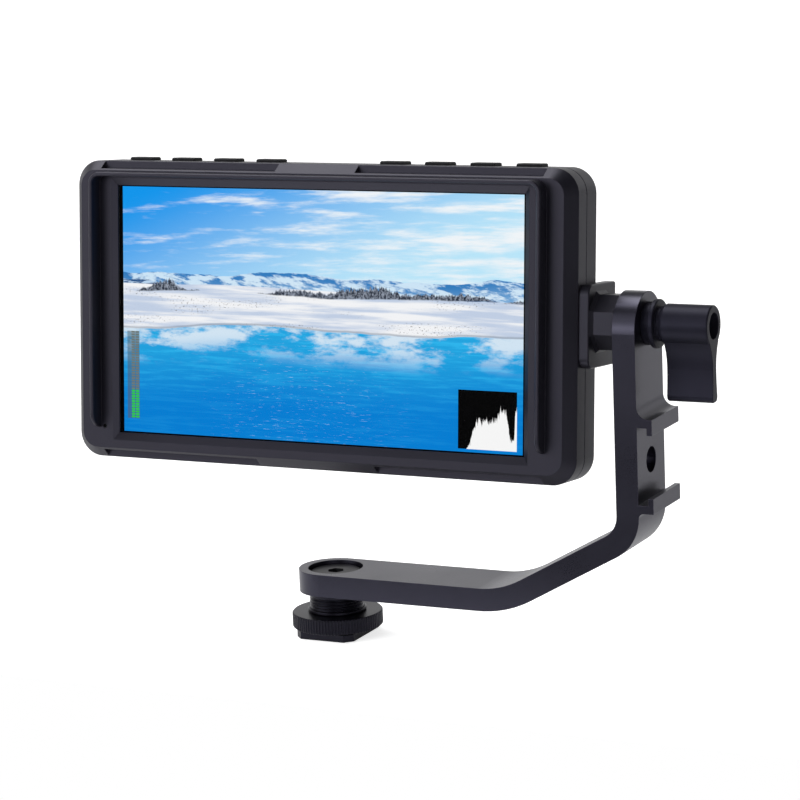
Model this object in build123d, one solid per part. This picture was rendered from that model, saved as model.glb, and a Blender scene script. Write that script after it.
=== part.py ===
from build123d import *
import math
import os

# Camera field monitor on a tilting arm with a shoe foot.
# Millimetres, +Z up, +X to the right as the user sees the screen, +Y away from the user.
# The origin is the centre of the shoe foot's underside, on the arm's swivel axis.
# The monitor head is drawn upright in its own frame (origin at the middle of the picture,
# on the picture plane) and then placed on the tilt axis by HEAD.

# ---- general fits -------------------------------------------------------------------
slip = 0.08            # radial running clearance of a shaft in its bore
snug = 0.05            # radial clearance of a screw or stud in its thread
gap = 0.15             # clearance round a loose-fitting piece
part_gap = 0.3         # air between pieces that move past each other

# ---- shoe foot, knurled nut and swivel -----------------------------------------------
foot_length = 16.0
foot_width = 18.4
foot_thickness = 1.8
foot_corner = 2.0
barrel_d = 13.9
arm_underside = 11.3   # height of the arm's lower bar above the foot's underside
thread_pitch = 0.75
thread_depth = 0.3
thread_start = 4.0
nut_d = 23.0
nut_thickness = 3.8
nut_flutes = 88
flute_r = 0.25
ring_d = 14.8
ring_thickness = 1.0
swivel_screw_r = 3.0
swivel_head_r = 6.45
swivel_head_thickness = 1.6
swivel_washer_thickness = 0.5
swivel_hex = 3.8       # across the flats of the socket
swivel_screw_reach = 8.0   # how far the screw goes down into the barrel

# ---- arm ----------------------------------------------------------------------------
arm_width = 18.0
arm_thickness = 5.7
arm_end = 9.4          # reach of the lower bar's round end past the swivel axis
incline_run = 33.05    # from the upright's middle back to where the lower bar turns up
incline_angle = 29.0
low_bend_r = 26.0      # centre-line radius of the lower bend
high_bend_r = 8.6      # centre-line radius of the upper bend
pocket_r = 7.0         # counterbore for the swivel screw's head
pocket_rim = 0.9       # depth of the head's top below the bar's top
tip_drop = 1.3         # centre of the arm's round tip below the tilt axis
edge_break = 0.25

# cold-shoe slot on the arm's outer face
slot_width = 18.8
slot_depth = 2.5
slot_lip = 1.75
slot_lip_thickness = 1.3
slot_wall = 2.0
slot_center_z = 50.05
slot_top_fillet = 3.0
slot_low_fillet = 1.3
tripod_r = 3.175       # 1/4 inch thread

# ---- tilt joint ---------------------------------------------------------------------
axis_z = 83.0          # tilt axis above the foot's underside
tilt_angle = 5.5       # how far the screen leans back at rest
stud_r = 3.0
washer_thickness = 0.5
collar_neck_r = 5.2
collar_neck = 1.9
collar_r = 5.9
collar_flange = 1.2
collar_tail_r = 4.2
collar_tail = 0.9
knob_r = 4.9
knob_length = 12.5
knob_taper = 1.0       # length of the knob's tapered root
knob_taper_rise = 0.6
knob_hole_r = 3.2
knob_hole_depth = 5.0
knob_socket = 5.5      # how far the stud is set into the knob
wing_drop = 18.5       # lowest edge of the wing below the tilt axis
wing_waist_drop = 10.5
wing_waist = 1.1       # half thicknesses of the wing
wing_tip = 1.55
wing_root_y = 3.0
wing_corner_r = 0.6
stud_reach = 5.2       # how far the stud goes into the hub

# ---- monitor head: casing -------------------------------------------------------------
head_x = 2.75          # middle of the picture, from the swivel axis
axis_behind = 9.2      # tilt axis behind the picture plane
axis_above = 1.0       # tilt axis above the middle of the picture
face_y = -2.06
rim_side = 4.4         # flat face outside the shade, at the sides
rim_top = 0.35
rim_bottom = 2.05      # flat face below the window's sloping edge
bevel_side = 2.6       # width of the front chamfer
bevel_top = 2.35
bevel_bottom = 2.7
wall_front_y = 1.04    # where the front chamfer meets the side wall
seam_y = 5.9
back_y = 12.65
corner_r = 6.3
face_corner_r = 4.0
wall = 2.0
back_wall = 1.8
front_inner_y = 0.2    # inner side of the bezel's front wall
deep_y = 2.6           # the full-height cavity starts here
seam_chamfer = 0.2
back_chamfer = 0.7

# window and its sloping edge, outward from the picture's edge
picture_w = 110.7
picture_h = 62.3
border_side = 0.8      # black border between the picture and the window
border_top = 0.3
slope_side = 1.35
slope_top = 1.9
window_y = -1.04

# sun-shade lip round the top and both sides
shade_off_side = 3.4   # flat face between the sloping edge and the shade
shade_off_top = 0.5
shade_wall = 1.0
shade_depth = 4.14
shade_end_rise = 5.2   # the lip's lower ends above the face's lower edge
shade_edge = 0.25
shade_corner_r = 3.0
shade_end_r = 3.9

# stepped notches in the front chamfer
notch_inset = 0.19     # floor of a notch in front of the side wall's edge
top_notch_x = 11.0     # inner ends of the notches
low_notch_x = 16.3
top_notch_short = 0.1  # outer ends inside the shade
low_notch_short = 0.3
top_notch_step = 0.4
low_notch_step = 0.6

# ---- screen stack ---------------------------------------------------------------------
glass_side = 0.85      # how far the glass goes behind the window's edge
glass_top = 1.45
glass_y = -0.8
glass_thickness = 0.5
gasket_inset = 0.1
gasket_overlap = 0.2   # how far the gasket stays behind the window's edge
panel_thickness = 1.2
light_thickness = 2.0
tray_wall = 0.6
tray_back = 0.4

# ---- electronics ----------------------------------------------------------------------
board_y = 4.6
board_thickness = 1.0
board_edge_gap = 0.5
board_right_over = 1.25    # past the panel's tray
board_foot_gap = 2.5
standoff_r = 2.4
board_screw_in = 7.75
board_screw_low = 4.4
board_screw_rise = 5.5
board_screw_r = 0.9
key_screw_r = 0.6
key_screw_reach = 1.8  # below the key board
key_screw_head_r = 1.2
board_head_r = 1.8
board_head = 0.8
chip_thickness = 1.6
processor_at = (-36.0, 5.0)
processor_size = 15.0
pad_thickness = 0.5
spreader_size = 20.0
chips = [(-8.0, 9.0, 12.0, 9.0), (8.0, 9.0, 12.0, 9.0), (26.0, -10.0, 9.0, 9.0), (40.0, 9.0, 7.0, 7.0),
         (40.0, -6.0, 7.0, 7.0), (-12.0, -12.0, 8.0, 8.0)]
flex_width = 20.0
flex_thickness = 0.15
key_flex_width = 8.0

# sockets: (centre along the wall, width along the wall)
socket_y = 8.2
hdmi_w = 14.6
hdmi_h = 5.1
hdmi_wall = 0.35
hdmi_depth = 12.5
socket_inset = 0.4     # sockets stop this far inside the outer wall
phone_r = 1.78
phone_length = 12.0
phone_half = 2.4
usb_w = 7.8
usb_h = 2.9
usb_length = 6.0
dc_in_off = 3.0        # from a board standoff to the power socket
dc_in_r = 2.85
dc_in_y = 7.3
dc_in_half = 4.6
dc_pitch = 18.0        # between the two power sockets
dc_out_r = 1.8
dc_out_half = 3.6
dc_pin_r = 1.0
dc_out_pin_r = 0.6
jack_length = 11.5
jack_floor = 2.0
lcd_cable_low = -20.0
lcd_cable_bend = -10.0
lcd_cable_top = -2.0
key_cable_drop = 5.0

# ---- keys -----------------------------------------------------------------------------
key_first_x = 17.2
key_post_clear = 1.93  # from the end of the key board to a case screw's post
keys_per_side = 4
key_w = 6.5
key_depth = 4.1
key_y = 8.6
key_rise = 0.8
key_flange = 0.65
key_flange_thickness = 0.7
key_free = 0.55        # air between a key's flange and its switch
key_board_thickness = 1.0
key_board_over = 5.1   # past the last key
key_board_half_d = 2.1
key_screw_back = 0.6
switch_size = 3.0
switch_body = 1.3
switch_button_r = 0.8
switch_button = 0.3
ledge_x = 8.0
ledge_w = 4.0
ledge_over = 3.7       # middle of an outer ledge past the last key
ledge_end_w = 2.6
ledge_height = 2.2

# ---- side bracket ---------------------------------------------------------------------
bracket_plate = 2.5
bracket_depth = 17.1
bracket_height = 20.0
bracket_drop = 0.95    # middle of the plate below the tilt axis
bracket_back = 0.85    # and behind it
bracket_front_r = 2.5
bracket_back_r = 0.5
hub_across = 13.2
hub_shoulder = 0.8
hub_length = 5.85
bracket_screw_r = 1.25
bracket_screw_dz = 6.0
bracket_screw_y = 8.4
bracket_bite = 2.0     # thread depth in the plate
backing_thickness = 1.5
backing_depth = 4.0
backing_height = 17.0
backing_head = 1.4
backing_head_r = 2.2

# ---- case screws ----------------------------------------------------------------------
post_r = 2.75
post_off = 2.9         # from the panel's tray to a post
post_rise = 5.5        # from the inner bottom to the middle of a post
case_screw_r = 1.2
case_screw_tip_y = 2.0
case_head_r = 2.2
case_head = 1.2
case_head_sink = 0.2

# ---- battery plate --------------------------------------------------------------------
plate_half_w = 19.6
plate_half_h = 31.0
plate_base = 1.8
rail_w = 2.0
rail_height = 2.6
rail_lip = 1.1
rail_lip_thickness = 1.0
rail_gap_z = (-4.0, 6.0)
plate_corner_r = 2.0
plate_screw_x = 14.0
plate_screw_z = 15.0
plate_screw_r = 0.95
plate_head_r = 1.9
plate_head = 1.1
plate_screw_tip_y = 9.4
plate_post_r = 2.2
plate_post_y = 8.8
terminal_w = 12.0
terminal_h = 5.0
terminal_z = -24.5
terminal_rise = 2.2
blade_w = 0.7
blade_h = 1.5
blade_length = 4.0
latch_w = 10.0
latch_h = 5.0
latch_z = 24.0
latch_rise = 2.2
latch_flange = 1.0
latch_flange_thickness = 0.8
latch_travel = 2.0
latch_cup_floor_y = 9.0
latch_cup_wall = 1.0
spring_r = 1.6
spring_wire_r = 0.2
spring_turns = 5

# vents: two blocks of slots beside the battery plate
vent_rows = 9
vent_pitch = 3.4
vent_length = 13.0
vent_height = 1.3
vent_xs = [31.0, 47.5]

# status light
light_in = 1.0         # inside the shade's inner face
light_rise = 5.5       # above the face's lower edge
light_r = 0.5

# ---- worked out from the values above ---------------------------------------------------
window_half_w = picture_w / 2 + border_side
window_half_h = picture_h / 2 + border_top
slope_half_w = window_half_w + slope_side
slope_half_h = window_half_h + slope_top
glass_half_w = window_half_w + glass_side
glass_half_h = window_half_h + glass_top
shade_inner_x = slope_half_w + shade_off_side
shade_inner_top = slope_half_h + shade_off_top
face_half_width = shade_inner_x + shade_wall + rim_side
face_top = shade_inner_top + shade_wall + rim_top
face_bottom = slope_half_h + rim_bottom
shade_low_z = face_bottom - shade_end_rise
half_width = face_half_width + bevel_side
head_top = face_top + bevel_top
head_bottom = face_bottom + bevel_bottom
light_x = -(shade_inner_x - light_in)
light_z = -(face_bottom - light_rise)

arm_inner_x = head_x + half_width + bracket_plate + hub_length + washer_thickness
arm_top_of_bar = arm_underside + arm_thickness
arm_outer_x = arm_inner_x + arm_thickness
bar_center_z = arm_underside + arm_thickness / 2
upright_center_x = arm_inner_x + arm_thickness / 2
incline_x = upright_center_x - incline_run
hub_end_x = arm_inner_x - washer_thickness
collar_flange_x = arm_outer_x + collar_neck + collar_flange
collar_end_x = collar_flange_x + collar_tail
knob_end_x = collar_end_x + knob_length
inner_top = head_top - wall
inner_bottom = head_bottom - wall
inner_half_w = half_width - wall
inner_back_y = back_y - back_wall
board_back_y = board_y + board_thickness
panel_y = 0.0
light_y = panel_y + panel_thickness
tray_back_y = light_y + light_thickness
tray_half_w = glass_half_w + gap + tray_wall
tray_half_h = glass_half_h + gap + tray_wall
post_x = tray_half_w + post_off + post_r
post_z = inner_bottom - post_rise
plate_y = back_y + plate_base
key_under = inner_top - snug - key_flange_thickness
key_board_top = key_under - key_free - switch_button - switch_body
key_last_x = post_x - post_r - key_post_clear - key_board_over
key_pitch = (key_last_x - key_first_x) / (keys_per_side - 1)
key_xs = [side * (key_first_x + i * key_pitch) for side in (-1, 1) for i in range(keys_per_side)]
key_board_half_w = max(key_xs) + key_board_over
key_screw_y = key_y + key_screw_back
key_ledges = [(-ledge_x, ledge_w), (ledge_x, ledge_w)]
ledges = key_ledges + [(side * (max(key_xs) + ledge_over), ledge_end_w) for side in (-1, 1)]
board_left = inner_half_w - board_edge_gap
board_right = tray_half_w + board_right_over
board_bottom = inner_bottom - board_foot_gap
board_top = key_board_top - key_board_thickness - ledge_height - part_gap
board_screw_at = [(side * (tray_half_w - board_screw_in), z) for side in (-1, 1)
                  for z in (board_top - board_screw_low, board_screw_rise - board_bottom)]
dc_in_x = -(tray_half_w - board_screw_in - standoff_r - dc_in_off - dc_in_half)
dc_out_x = dc_in_x + dc_pitch
port_spans = [hdmi_w, hdmi_w, 2 * phone_half, usb_w]
port_gap = (2 * (post_z - post_r) - sum(port_spans)) / (len(port_spans) + 1)
hdmi_in_z = post_z - post_r - port_gap - hdmi_w / 2
hdmi_out_z = hdmi_in_z - hdmi_w - port_gap
phone_z = hdmi_out_z - hdmi_w / 2 - port_gap - phone_half
usb_z = phone_z - phone_half - port_gap - usb_w / 2
nut_low_z = foot_thickness + part_gap
ring_low_z = nut_low_z + nut_thickness

HEAD = Pos(head_x, 0, axis_z) * Rot(X=-tilt_angle) * Pos(0, -axis_behind, -axis_above)


# ---- small helpers ----------------------------------------------------------------------
def block(x0, x1, y0, y1, z0, z1):
    """A box between two corners."""
    return Pos((x0 + x1) / 2, (y0 + y1) / 2, (z0 + z1) / 2) * Box(x1 - x0, y1 - y0, z1 - z0)


def rod_x(x0, x1, r, y=0.0, z=0.0):
    return Pos((x0 + x1) / 2, y, z) * Rot(Y=90) * Cylinder(r, x1 - x0)


def rod_y(y0, y1, r, x=0.0, z=0.0):
    return Pos(x, (y0 + y1) / 2, z) * Rot(X=90) * Cylinder(r, y1 - y0)


def rod_z(z0, z1, r, x=0.0, y=0.0):
    return Pos(x, y, (z0 + z1) / 2) * Cylinder(r, z1 - z0)


def front_plane(y):
    """Plane for sketches seen from the front: X right, Z up, at depth y."""
    return Plane(origin=(0, y, 0), x_dir=(1, 0, 0), z_dir=(0, -1, 0))


def slab(sketch, y0, y1):
    """A front-view sketch made solid from depth y0 back to y1."""
    return extrude(front_plane(y0) * sketch, -(y1 - y0))


def rounded(half_w, top, bottom, r):
    """Front-view rounded rectangle from -bottom to +top."""
    return Pos(0, (top - bottom) / 2) * RectangleRounded(2 * half_w, top + bottom, r)


def both_sides(shape):
    """A shape and its mirror image across the middle of the head."""
    return shape + mirror(shape, Plane.YZ)


def near(part, x=None, y=None, z=None, tol=0.02):
    """Edges whose centres lie on the given coordinates."""
    picked = part.edges()
    for value, axis in ((x, 0), (y, 1), (z, 2)):
        if value is not None:
            picked = picked.filter_by(lambda e, v=value, a=axis: abs(tuple(e.center())[a] - v) < tol)
    return picked


# ---- shoe foot, nut and swivel ------------------------------------------------------------
def shoe_foot():
    """Square foot plate with cut corners and a threaded barrel that carries the arm."""
    plate = extrude(chamfer(Rectangle(foot_length, foot_width).vertices(), foot_corner), foot_thickness)
    r = barrel_d / 2
    rings = int((arm_underside - thread_start - thread_pitch) / thread_pitch)
    outline = [(0, foot_thickness), (r, foot_thickness), (r, thread_start)]
    for i in range(rings):
        z = thread_start + i * thread_pitch
        outline += [(r - thread_depth, z + thread_pitch / 2), (r, z + thread_pitch)]
    outline += [(r, arm_underside), (0, arm_underside)]
    barrel = revolve(Plane.XZ * make_face(Polyline(outline, close=True)), Axis.Z)
    bore = rod_z(arm_underside - swivel_screw_reach, arm_underside, swivel_screw_r + snug)
    return plate + barrel - bore


def shoe_nut():
    """Knurled clamping nut on the barrel."""
    body = rod_z(nut_low_z, nut_low_z + nut_thickness, nut_d / 2)
    body = chamfer(body.edges().filter_by(GeomType.CIRCLE), edge_break)
    flutes = Sketch() + [loc * Circle(flute_r) for loc in PolarLocations(nut_d / 2, nut_flutes)]
    body -= Pos(0, 0, nut_low_z) * extrude(flutes, nut_thickness)
    return body - rod_z(nut_low_z, nut_low_z + nut_thickness, barrel_d / 2 + slip)


def lock_ring():
    """Plain ring that rides on the nut and keeps it from binding on the arm."""
    body = rod_z(ring_low_z, ring_low_z + ring_thickness, ring_d / 2)
    body = chamfer(body.edges().filter_by(GeomType.CIRCLE), edge_break)
    return body - rod_z(ring_low_z, ring_low_z + ring_thickness, barrel_d / 2 + slip)


def swivel_screw():
    """Large flat-headed screw that holds the arm to the barrel."""
    top = arm_top_of_bar - pocket_rim
    low = top - swivel_head_thickness
    head = rod_z(low, top, swivel_head_r)
    head = chamfer(head.edges().group_by(Axis.Z)[-1], edge_break)
    shank = rod_z(arm_underside - swivel_screw_reach + part_gap, low, swivel_screw_r)
    socket = Pos(0, 0, top) * extrude(RegularPolygon(swivel_hex / 2, 6, major_radius=False), -1.2)
    return head + shank - socket


def swivel_washer():
    """Thin washer between the screw's head and the floor of the arm's pocket."""
    top = arm_top_of_bar - pocket_rim - swivel_head_thickness
    ring = rod_z(top - swivel_washer_thickness, top, swivel_head_r)
    return ring - rod_z(top - swivel_washer_thickness, top, swivel_screw_r + snug)


# ---- arm ------------------------------------------------------------------------------
def arm_profile():
    """Side view of the bent bar, in X and Z, with its two bends."""
    half = arm_thickness / 2
    slope = math.tan(math.radians(incline_angle))
    lean = half / math.cos(math.radians(incline_angle))
    top = axis_z - tip_drop + arm_width / 2

    def incline(x, side):
        return bar_center_z + (x - incline_x) * slope + side * lean

    def foot_of_incline(side):
        return incline_x + side * (half - lean) / slope

    left = -arm_end
    points = [(left, bar_center_z - half), (foot_of_incline(-1), bar_center_z - half),
              (arm_outer_x, incline(arm_outer_x, -1)), (arm_outer_x, top), (arm_inner_x, top),
              (arm_inner_x, incline(arm_inner_x, 1)), (foot_of_incline(1), bar_center_z + half),
              (left, bar_center_z + half)]
    face = make_face(Polyline(points, close=True))
    for point, radius in ((points[1], low_bend_r + half), (points[6], low_bend_r - half),
                          (points[2], high_bend_r + half), (points[5], high_bend_r - half)):
        corner = face.vertices().sort_by_distance((point[0], point[1], 0))[0]
        face = fillet(corner, radius)
    return face


def slot_rails():
    """Side view of the two L-shaped rails of the cold-shoe slot."""
    x0, x1 = arm_outer_x, arm_outer_x + slot_depth
    x2 = x1 + slot_lip_thickness
    top = slot_center_z + slot_width / 2
    low = slot_center_z - slot_width / 2
    upper = Polyline([(x0, top + slot_wall + slot_top_fillet), (x0 - 1, top + slot_wall + slot_top_fillet),
                      (x0 - 1, top), (x1, top), (x1, top - slot_lip), (x2, top - slot_lip),
                      (x2, top + slot_wall), (x0 + slot_top_fillet, top + slot_wall)])
    upper += RadiusArc((x0 + slot_top_fillet, top + slot_wall),
                       (x0, top + slot_wall + slot_top_fillet), slot_top_fillet)
    lower = Polyline([(x0, low - slot_wall - slot_low_fillet), (x0 - 1, low - slot_wall - slot_low_fillet),
                      (x0 - 1, low), (x1, low), (x1, low + slot_lip), (x2, low + slot_lip),
                      (x2, low - slot_wall), (x0 + slot_low_fillet, low - slot_wall)])
    lower += RadiusArc((x0 + slot_low_fillet, low - slot_wall),
                       (x0, low - slot_wall - slot_low_fillet), -slot_low_fillet)
    return make_face(upper) + make_face(lower)


def tilt_arm():
    """Bent flat bar: swivel pocket at the foot, cold-shoe slot, 1/4 inch thread, tilt bore at the tip."""
    half = arm_width / 2
    bar = slab(arm_profile(), -half, half)
    tip_z = axis_z - tip_drop
    end_x = half - arm_end
    plan = Pos(end_x, 0) * Circle(half) + Pos(end_x + knob_end_x / 2, 0) * Rectangle(knob_end_x, arm_width)
    bar = bar & extrude(plan, 2 * axis_z)
    side = Plane.YZ * (Pos(0, tip_z) * Circle(half) + Pos(0, tip_z / 2) * Rectangle(arm_width, tip_z))
    bar = bar & Pos(-arm_width, 0, 0) * extrude(side, knob_end_x + 2 * arm_width)
    arm = bar + slab(slot_rails(), -half, half)
    washer_low = arm_top_of_bar - pocket_rim - swivel_head_thickness - swivel_washer_thickness
    arm -= rod_z(washer_low, arm_top_of_bar + 1, pocket_r)
    arm -= rod_z(arm_underside - 1, washer_low + 1, swivel_screw_r + slip)
    arm -= rod_x(arm_inner_x - 1, arm_outer_x + 1, stud_r + slip, z=axis_z)
    arm -= rod_x(arm_inner_x - 1, arm_outer_x + 1, tripod_r, z=slot_center_z)
    return arm


# ---- tilt clamp -----------------------------------------------------------------------
def clamp_collar():
    """Stepped washer between the arm and the knob."""
    neck = rod_x(arm_outer_x, arm_outer_x + collar_neck, collar_neck_r, z=axis_z)
    flange = rod_x(arm_outer_x + collar_neck, collar_flange_x, collar_r, z=axis_z)
    flange = fillet(flange.edges().filter_by(GeomType.CIRCLE), edge_break)
    tail = rod_x(collar_flange_x, collar_end_x, collar_tail_r, z=axis_z)
    return neck + flange + tail - rod_x(arm_outer_x, collar_end_x, stud_r + slip, z=axis_z)


def wing_outline():
    """End view of the knob's wing in Y and Z about the tilt axis: hollow sides, flaring to a round tip."""
    root_z = -math.sqrt(knob_r ** 2 - wing_root_y ** 2)
    low = -wing_drop + wing_tip
    waist = (wing_waist, -wing_waist_drop)
    right = TangentArc(waist, (wing_root_y, root_z), tangent=(0, 1))
    right += TangentArc(waist, (wing_tip, low), tangent=(0, -1))
    left = mirror(right, Plane.YZ)
    tip = ThreePointArc((wing_tip, low), (0, -wing_drop), (-wing_tip, low))
    top = Line((-wing_root_y, root_z), (wing_root_y, root_z))
    return make_face(right + left + tip + top)


def clamp_knob():
    """Round knob with a tapered root and a hanging wing, set hard on the stud."""
    wing_x = collar_end_x + knob_taper
    body = rod_x(wing_x, knob_end_x, knob_r, z=axis_z)
    body = chamfer(body.edges().filter_by(GeomType.CIRCLE).sort_by(Axis.X)[-1], edge_break)
    root = Pos((collar_end_x + wing_x) / 2, 0, axis_z) * Rot(Y=90) * Cone(knob_r - knob_taper_rise, knob_r,
                                                                        knob_taper)
    wing_plane = Plane(origin=(wing_x, 0, axis_z), x_dir=(0, 1, 0), z_dir=(1, 0, 0))
    wing = extrude(wing_plane * wing_outline(), knob_end_x - wing_x)
    side = Pos((wing_x + knob_end_x) / 2, axis_z) * RectangleRounded(knob_end_x - wing_x, 2 * wing_drop,
                                                                  wing_corner_r)
    wing = wing & slab(side, -knob_r, knob_r)
    knob = body + root + wing
    knob -= rod_x(knob_end_x - knob_hole_depth, knob_end_x, knob_hole_r, z=axis_z)
    return knob - rod_x(collar_end_x, collar_end_x + knob_socket, stud_r + snug, z=axis_z)


def clamp_stud():
    """Steel stud from the knob, through the arm, into the hub."""
    return rod_x(hub_end_x - stud_reach, collar_end_x + knob_socket, stud_r, z=axis_z)


# ---- side bracket, in the head's frame ----------------------------------------------------
def arm_bracket():
    """Plate on the head's side with an eight-sided hub on the tilt axis."""
    x0 = half_width
    x1 = x0 + bracket_plate
    hub_end = hub_end_x - head_x
    side = Plane(origin=(x0, axis_behind, axis_above), x_dir=(0, 1, 0), z_dir=(1, 0, 0))
    outline = Rectangle(bracket_depth, bracket_height)
    outline = fillet(outline.vertices().group_by(Axis.X)[0], bracket_front_r)
    outline = fillet(outline.vertices().group_by(Axis.X)[-1], bracket_back_r)
    plate = extrude(side * Pos(bracket_back, -bracket_drop) * outline, bracket_plate)
    plate = chamfer(plate.faces().sort_by(Axis.X)[-1].edges(), edge_break)
    octagon = Rot(Z=22.5) * RegularPolygon(hub_across / 2, 8, major_radius=False)
    hub = extrude(side.offset(bracket_plate) * octagon, hub_end - x1)
    foot = loft([side.offset(bracket_plate) * (Rot(Z=22.5) * RegularPolygon(hub_across / 2 + hub_shoulder, 8,
                                                                          major_radius=False)),
                 side.offset(bracket_plate + hub_shoulder) * octagon])
    body = plate + hub + foot
    body -= rod_x(hub_end - stud_reach - part_gap, hub_end, stud_r + slip, y=axis_behind, z=axis_above)
    for z in bracket_screw_zs():
        body -= rod_x(x0, x0 + bracket_bite, bracket_screw_r + snug, y=bracket_screw_y, z=z)
    return body


def bracket_screw_zs():
    middle = axis_above - bracket_drop
    return (middle - bracket_screw_dz, middle + bracket_screw_dz)


def bracket_backing():
    """Steel strip inside the side wall that the bracket's screws bear on."""
    middle = axis_above - bracket_drop
    strip = block(inner_half_w - backing_thickness, inner_half_w, bracket_screw_y - backing_depth / 2,
                  bracket_screw_y + backing_depth / 2,
                  middle - backing_height / 2, middle + backing_height / 2)
    for z in bracket_screw_zs():
        strip -= rod_x(inner_half_w - backing_thickness, inner_half_w, bracket_screw_r + snug,
                       y=bracket_screw_y, z=z)
    return strip


def bracket_screws():
    """Two screws from inside the casing into the bracket's plate."""
    head_x1 = inner_half_w - backing_thickness
    screws = []
    for z in bracket_screw_zs():
        head = rod_x(head_x1 - backing_head, head_x1, backing_head_r, y=bracket_screw_y, z=z)
        shank = rod_x(head_x1, half_width + bracket_bite - snug, bracket_screw_r, y=bracket_screw_y, z=z)
        slot = block(head_x1 - backing_head, head_x1 - backing_head / 2, bracket_screw_y - 1.5,
                     bracket_screw_y + 1.5, z - 0.3, z + 0.3)
        screws.append(head + shank - slot)
    return Compound(screws)


def friction_washer():
    """Nylon washer between the hub and the arm."""
    x1 = arm_inner_x - head_x
    ring = rod_x(hub_end_x - head_x, x1, hub_across / 2, y=axis_behind, z=axis_above)
    return ring - rod_x(hub_end_x - head_x, x1, stud_r + slip, y=axis_behind, z=axis_above)


# ---- casing ---------------------------------------------------------------------------
def key_holes():
    """Openings in the top wall for the eight keys; the seam runs through them."""
    w = key_w / 2 + gap
    d = key_depth / 2 + gap
    cuts = Part()
    for x in key_xs:
        cuts += block(x - w, x + w, key_y - d, key_y + d, inner_top - 1, head_top + 1)
    return cuts


def port_holes():
    """Openings in the left and bottom walls for the sockets."""
    x0, x1 = -half_width - 1, -inner_half_w + 1
    cuts = Part()
    for z in (hdmi_in_z, hdmi_out_z):
        cuts += block(x0, x1, socket_y - hdmi_h / 2 - snug, socket_y + hdmi_h / 2 + snug,
                      z - hdmi_w / 2 - gap, z + hdmi_w / 2 + gap)
    cuts += rod_x(x0, x1, phone_r + 2 * gap, y=socket_y, z=phone_z)
    cuts += block(x0, x1, socket_y - usb_h / 2 - gap, socket_y + usb_h / 2 + gap,
                  usb_z - usb_w / 2 - gap, usb_z + usb_w / 2 + gap)
    cuts += rod_z(-head_bottom - 1, -inner_bottom + 1, dc_in_r + 2 * gap, x=dc_in_x, y=dc_in_y)
    cuts += rod_z(-head_bottom - 1, -inner_bottom + 1, dc_out_r + 2 * gap, x=dc_out_x, y=socket_y)
    return cuts


def chamfer_notches():
    """Stepped recesses in the front chamfer: two along the top and two along the bottom."""
    floor_y = wall_front_y - notch_inset
    top = block(top_notch_x, shade_inner_x - top_notch_short, face_y - 1, floor_y,
                face_top + top_notch_step, head_top + 1)
    low = block(low_notch_x, shade_inner_x - low_notch_short, face_y - 1, floor_y,
                -head_bottom - 1, -face_bottom - low_notch_step)
    return both_sides(top + low)


def sun_shade():
    """Raised lip round the top and both sides of the face, its lower ends curving into the face."""
    outer_x = shade_inner_x + shade_wall
    outer_top = shade_inner_top + shade_wall
    middle = (outer_top - shade_low_z) / 2
    hood = Pos(0, middle) * Rectangle(2 * outer_x, outer_top + shade_low_z)
    hood = fillet(hood.vertices().group_by(Axis.Y)[-1], shade_corner_r)
    hole = Pos(0, middle - shade_wall) * Rectangle(2 * shade_inner_x, outer_top + shade_low_z)
    hole = fillet(hole.vertices().group_by(Axis.Y)[-1], shade_corner_r - shade_wall)
    lip = slab(hood - hole, face_y - shade_depth, face_y)
    ends = near(lip, y=face_y - shade_depth, z=-shade_low_z)
    lip = fillet(ends, shade_end_r)
    rim = lip.faces().sort_by(Axis.Y)[0].edges().filter_by(lambda e: e.center().Z > -shade_low_z)
    return chamfer(rim, shade_edge)


def front_bezel():
    """Front casing: chamfered face with a sloping window edge, the shade, posts and openings."""
    front = loft([front_plane(face_y) * rounded(face_half_width, face_top, face_bottom, face_corner_r),
                  front_plane(wall_front_y) * rounded(half_width, head_top, head_bottom, corner_r)])
    body = front + slab(rounded(half_width, head_top, head_bottom, corner_r), wall_front_y, seam_y)
    body = chamfer(near_outer_rim(body, seam_y), seam_chamfer)
    body -= chamfer_notches()
    body += sun_shade()
    slope = loft([front_plane(face_y) * Rectangle(2 * slope_half_w, 2 * slope_half_h),
                  front_plane(window_y) * Rectangle(2 * window_half_w, 2 * window_half_h)])
    body -= slope
    body -= slab(Rectangle(2 * window_half_w, 2 * window_half_h), window_y, glass_y)
    body -= slab(Rectangle(2 * glass_half_w + 2 * gap, 2 * glass_half_h + 2 * gap), glass_y, front_inner_y)
    body -= slab(Rectangle(2 * inner_half_w - 1, 2 * tray_half_h + 2 * gap), front_inner_y, deep_y)
    body -= slab(rounded(inner_half_w, inner_top, inner_bottom, corner_r - wall), deep_y, seam_y)
    for x in (-post_x, post_x):
        for z in (-post_z, post_z):
            body += rod_y(front_inner_y, seam_y, post_r, x, z)
            body -= rod_y(case_screw_tip_y - snug, seam_y, case_screw_r + snug, x, z)
    body -= rod_y(face_y - 1, deep_y, light_r + snug, light_x, light_z)
    return body - key_holes() - port_holes()


def near_outer_rim(body, y):
    """The edges of a casing's outer rim at depth y."""
    face = body.faces().sort_by_distance((0, y, 0))[0]
    return face.outer_wire().edges()


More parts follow.
